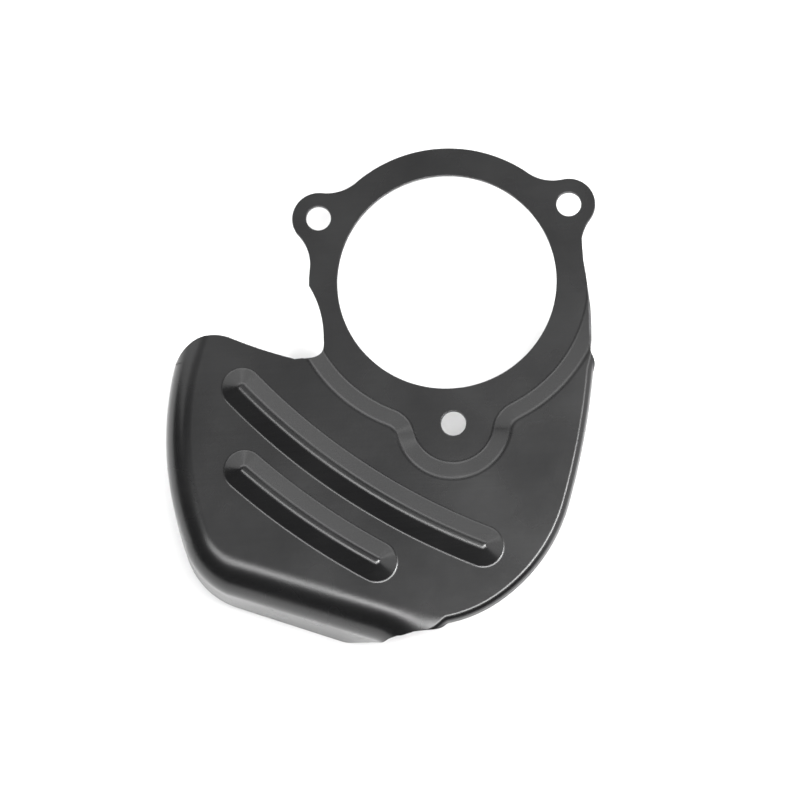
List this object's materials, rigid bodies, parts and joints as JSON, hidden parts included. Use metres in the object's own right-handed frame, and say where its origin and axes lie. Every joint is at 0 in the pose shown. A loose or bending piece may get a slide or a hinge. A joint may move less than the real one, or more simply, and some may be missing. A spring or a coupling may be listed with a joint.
{
  "type": "accessory drive heat shield",
  "caption": "Pressed sheet steel heat shield: a flat ring flange bolts round a pilot opening, and a beaded panel steps down past it and turns back into a deep side wall.",
  "frame": {"origin": "centre of the round pilot opening, on the ring flange's back face, which seats on the machine", "axes": "+Z along the pilot axis toward the shield's outer face, -Y from the pilot axis to the lower bolt hole, +X to the right seen from the outer face"},
  "size_m": [0.1527, 0.1706, 0.0442],
  "materials": {
    "black_coating": "satin"
  },
  "bodies": {
    "root": {"heat_shield": "black_coating"}
  },
  "joints": []
}
